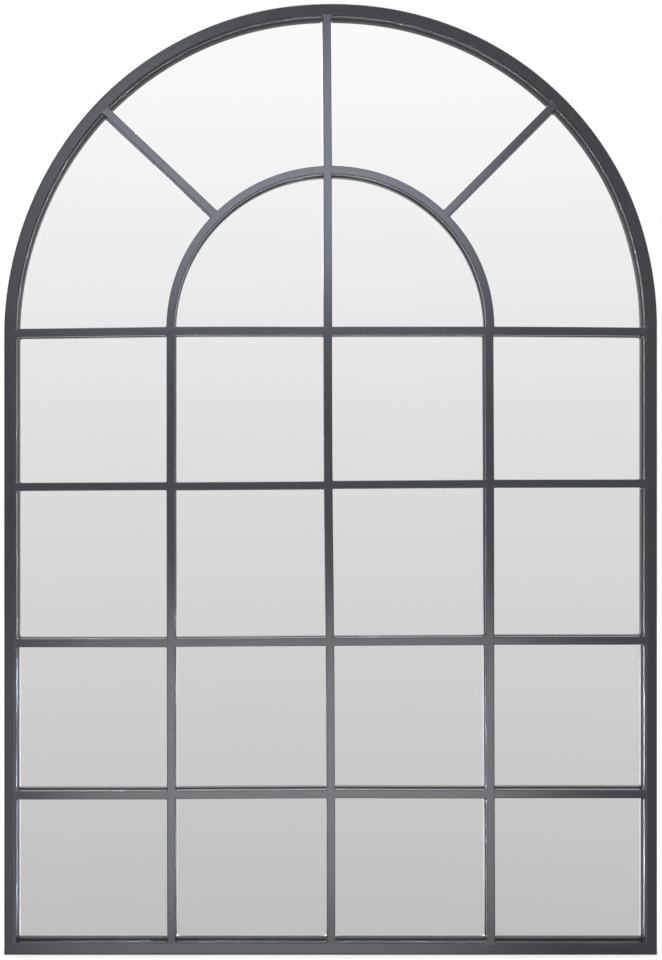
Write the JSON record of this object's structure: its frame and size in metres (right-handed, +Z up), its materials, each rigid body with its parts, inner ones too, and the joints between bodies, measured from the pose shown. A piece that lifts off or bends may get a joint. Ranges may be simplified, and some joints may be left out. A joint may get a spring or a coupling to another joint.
{
  "type": "arched window mirror",
  "caption": "Wall mirror in an arched metal window frame: a welded lattice of square bar with a fan top in front of one mirror sheet, hung on swinging rings.",
  "frame": {"origin": "under the middle of the bottom rail, halfway between the front face and the wall bumpers", "axes": "+Z up along the height, +X to the right seen from the front, -Y out of the front face, +Y towards the wall"},
  "size_m": [0.8, 0.0316, 1.165],
  "materials": {
    "graphite_paint": "satin dark graphite paint on steel",
    "silvered_glass": "polished float glass, silvered behind",
    "fibreboard": "plain brown fibreboard",
    "black_rubber": "matt black rubber",
    "foam": "closed-cell foam tape",
    "zinc_plate": "bright zinc plated steel"
  },
  "bodies": {
    "mirror": {"frame_hoop": "graphite_paint", "bottom_rail": "graphite_paint", "spring_bar": "graphite_paint", "inner_arch": "graphite_paint", "mullion_left": "graphite_paint", "mullion_centre": "graphite_paint", "mullion_right": "graphite_paint", "crown_post": "graphite_paint", "spoke_right": "graphite_paint", "spoke_centre": "graphite_paint", "spoke_left": "graphite_paint", "transom_1_left_2": "graphite_paint", "transom_1_left_1": "graphite_paint", "transom_1_right_1": "graphite_paint", "transom_1_right_2": "graphite_paint", "transom_2_left_2": "graphite_paint", "transom_2_left_1": "graphite_paint", "transom_2_right_1": "graphite_paint", "transom_2_right_2": "graphite_paint", "transom_3_left_2": "graphite_paint", "transom_3_left_1": "graphite_paint", "transom_3_right_1": "graphite_paint", "transom_3_right_2": "graphite_paint", "mirror_plate": "silvered_glass", "backing_board": "fibreboard", "setting_block_left": "black_rubber", "setting_block_right": "black_rubber", "foam_tape_left": "foam", "foam_tape_centre": "foam", "foam_tape_right": "foam", "board_clip_left_low": "zinc_plate", "board_clip_left_high": "zinc_plate", "board_clip_right_low": "zinc_plate", "board_clip_right_high": "zinc_plate", "board_clip_arch_right": "zinc_plate", "board_clip_arch_top": "zinc_plate", "board_clip_arch_left": "zinc_plate", "board_clip_bottom": "zinc_plate", "clip_screw_left_low": "zinc_plate", "clip_screw_left_high": "zinc_plate", "clip_screw_right_low": "zinc_plate", "clip_screw_right_high": "zinc_plate", "clip_screw_arch_right": "zinc_plate", "clip_screw_arch_top": "zinc_plate", "clip_screw_arch_left": "zinc_plate", "clip_screw_bottom": "zinc_plate", "hanger_strap_left": "zinc_plate", "strap_screw_left_1": "zinc_plate", "strap_screw_left_2": "zinc_plate", "hanger_strap_right": "zinc_plate", "strap_screw_right_1": "zinc_plate", "strap_screw_right_2": "zinc_plate", "wall_bumper_low_left": "black_rubber", "wall_bumper_low_right": "black_rubber", "wall_bumper_high_left": "black_rubber", "wall_bumper_high_right": "black_rubber"},
    "left_ring": {"hanger_ring_left": "zinc_plate"},
    "right_ring": {"hanger_ring_right": "zinc_plate"}
  },
  "joints": [
    {"name": "left_ring_swing", "type": "hinge", "parent": "mirror", "child": "left_ring", "pos_m": [-0.3925, 0.01215, 0.72], "axis": [1, 0, 0], "range_deg": [0, 180]},
    {"name": "right_ring_swing", "type": "hinge", "parent": "mirror", "child": "right_ring", "pos_m": [0.3925, 0.01215, 0.72], "axis": [1, 0, 0], "range_deg": [0, 180]}
  ]
}
